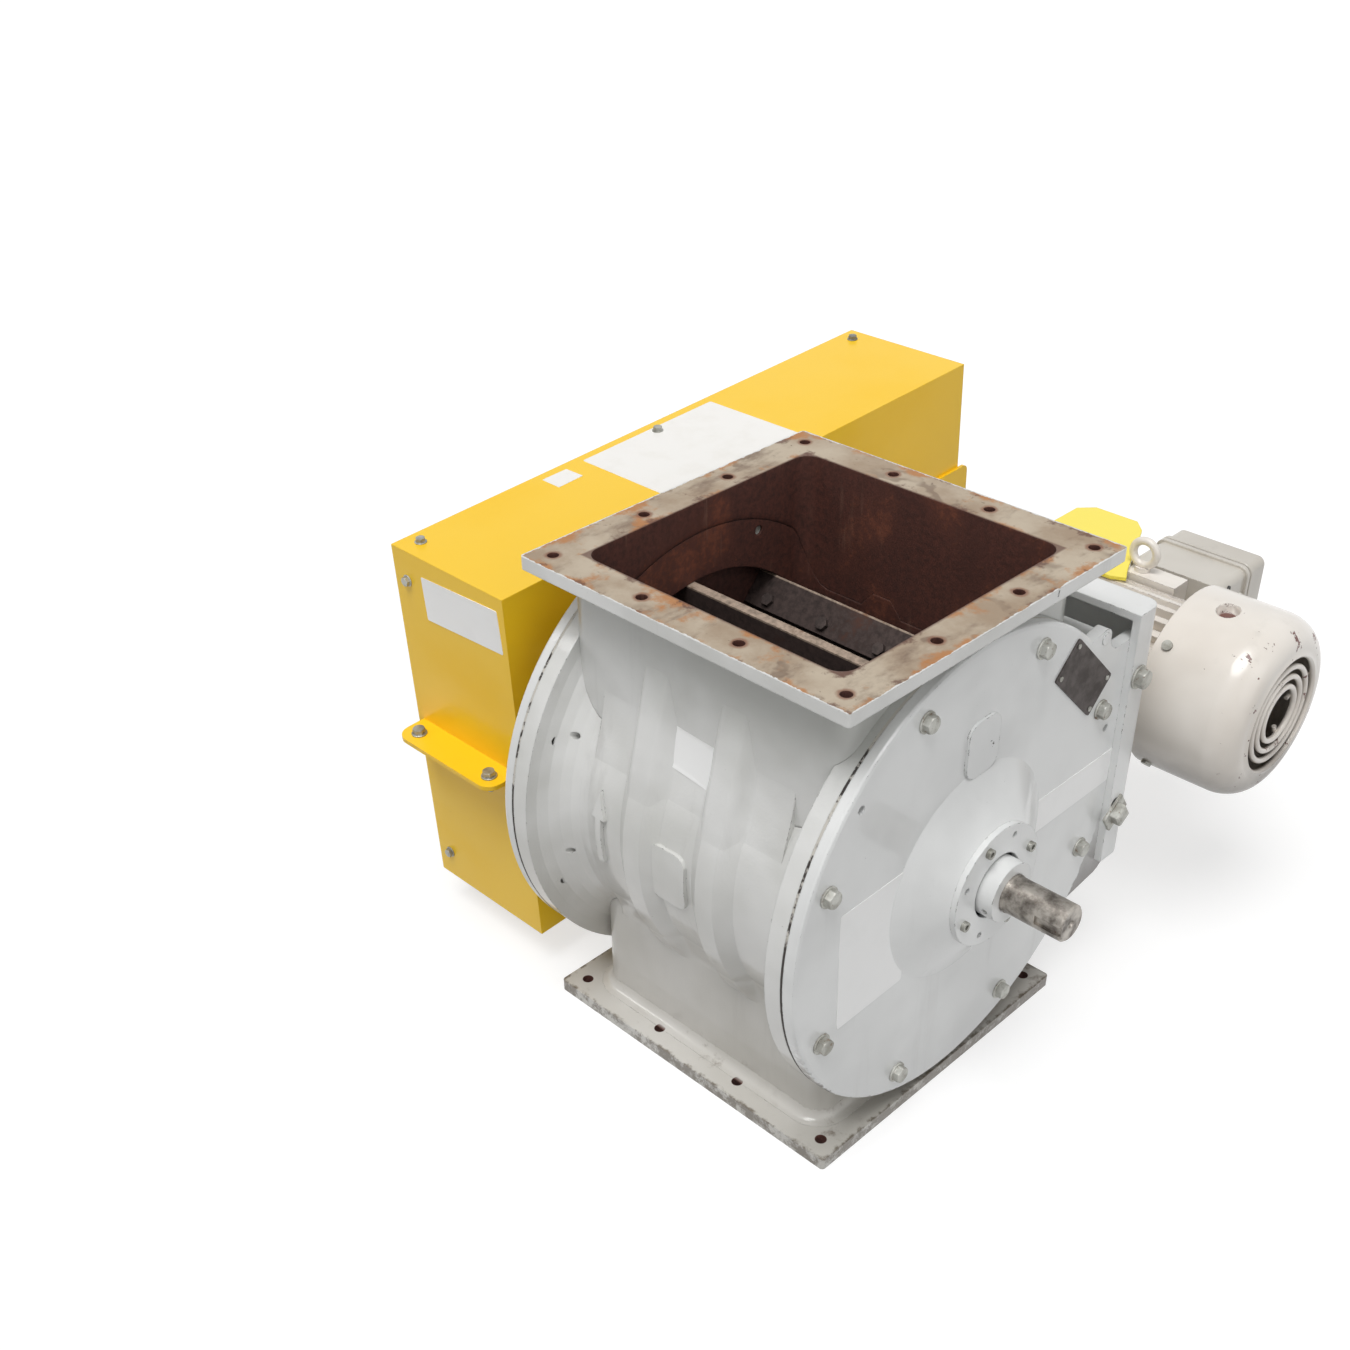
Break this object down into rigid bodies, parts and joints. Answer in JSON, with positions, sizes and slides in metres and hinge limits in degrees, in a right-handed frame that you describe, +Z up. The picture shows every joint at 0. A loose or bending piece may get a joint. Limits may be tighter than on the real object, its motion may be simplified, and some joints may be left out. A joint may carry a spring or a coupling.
{
  "type": "rotary airlock valve",
  "caption": "Square-flanged rotary airlock valve whose vaned rotor is turned by a guarded belt drive from a gearmotor on its side plate.",
  "frame": {"origin": "centre of the outlet flange's bottom face, where the valve stands", "axes": "+X along the rotor axis towards the bare shaft stub, +Y towards the gearmotor, +Z up to the inlet flange"},
  "size_m": [0.697, 0.8271, 0.52],
  "materials": {
    "housing_paint": "grey-white enamel on cast iron, chipped and grimy",
    "plate_paint": "cool white enamel on cast iron, chipped",
    "guard_yellow": "glossy yellow powder coat",
    "motor_cream": "warm white wash-down enamel, chipped",
    "zinc_fastener": "zinc plated, dulled",
    "bearing_steel": "ground",
    "shaft_steel": "turned steel with light rust",
    "rotor_iron": "worn and rusty",
    "tip_bar": "worn bright along the edge",
    "sheave_iron": "phosphated",
    "belt_rubber": "cloth-faced rubber",
    "gasket_black": "matte",
    "packing": "braided packing",
    "nameplate_metal": "dark tarnished plate, blank",
    "winding": "varnished laminations",
    "black_plastic": "moulded",
    "label_white": "blank sticker film",
    "gear_steel": "hobbed"
  },
  "bodies": {
    "frame": {"housing": "housing_paint", "inlet_neck": "housing_paint", "outlet_neck": "housing_paint", "outboard_end_plate": "plate_paint", "drive_end_plate": "plate_paint", "end_plate_gaskets": "gasket_black", "end_plate_bolts": "zinc_fastener", "bearing_outer_rings": "bearing_steel", "bearing_balls": "bearing_steel", "bearing_retainers": "plate_paint", "retainer_screws": "zinc_fastener", "shaft_packings": "packing", "blank_nameplate": "nameplate_metal", "nameplate_rivets": "zinc_fastener", "v_belts": "belt_rubber", "guard_upper_shell": "guard_yellow", "guard_lower_shell": "guard_yellow", "guard_upper_cover": "guard_yellow", "guard_lower_cover": "guard_yellow", "guard_bolts": "zinc_fastener", "guard_standoffs": "zinc_fastener", "reducer_guard_plate": "guard_yellow", "motor_plate": "plate_paint", "tie_bar": "plate_paint", "motor_plate_bolts": "zinc_fastener", "gear_foot_bolts": "zinc_fastener", "gear_case": "motor_cream", "gear_case_cover": "motor_cream", "drive_bearings": "bearing_steel", "output_oil_seal": "gasket_black", "motor_frame": "motor_cream", "motor_endshields": "motor_cream", "stator_core": "winding", "fan_cowl": "motor_cream", "cowl_screws": "zinc_fastener", "terminal_box": "motor_cream", "terminal_box_gasket": "gasket_black", "terminal_box_lid": "motor_cream", "terminal_box_screws": "zinc_fastener", "cable_gland": "black_plastic", "lifting_eye": "zinc_fastener"},
    "rotor": {"rotor_shaft": "shaft_steel", "rotor_hub": "rotor_iron", "rotor_vanes": "rotor_iron", "vane_tips": "tip_bar", "tip_bolts": "zinc_fastener", "bearing_inner_rings": "bearing_steel", "lock_collars": "plate_paint", "collar_set_screws": "zinc_fastener", "driven_sheave": "sheave_iron", "driven_bushing": "sheave_iron"},
    "output": {"output_shaft": "gear_steel", "output_wheel": "gear_steel", "driver_sheave": "sheave_iron", "driver_bushing": "sheave_iron"},
    "layshaft": {"layshaft": "gear_steel", "layshaft_wheel": "gear_steel"},
    "motor_rotor": {"motor_shaft": "gear_steel", "rotor_core": "winding", "cooling_fan": "black_plastic"}
  },
  "joints": [
    {"name": "rotor_spin", "type": "hinge", "parent": "frame", "child": "rotor", "pos_m": [0, 0, 0.26], "axis": [1, 0, 0], "continuous": true},
    {"name": "output_spin", "type": "hinge", "parent": "frame", "child": "output", "pos_m": [0, 0.40961, 0.27788], "axis": [1, 0, 0], "continuous": true},
    {"name": "layshaft_spin", "type": "hinge", "parent": "frame", "child": "layshaft", "pos_m": [0, 0.40961, 0.22188], "axis": [1, 0, 0], "continuous": true},
    {"name": "motor_spin", "type": "hinge", "parent": "frame", "child": "motor_rotor", "pos_m": [0, 0.40961, 0.27788], "axis": [1, 0, 0], "continuous": true}
  ],
  "couplings": [
    {"joint": "output_spin", "follows": "rotor_spin", "ratio": 2.5},
    {"joint": "layshaft_spin", "follows": "rotor_spin", "ratio": -6.25},
    {"joint": "motor_spin", "follows": "rotor_spin", "ratio": 15.625}
  ]
}
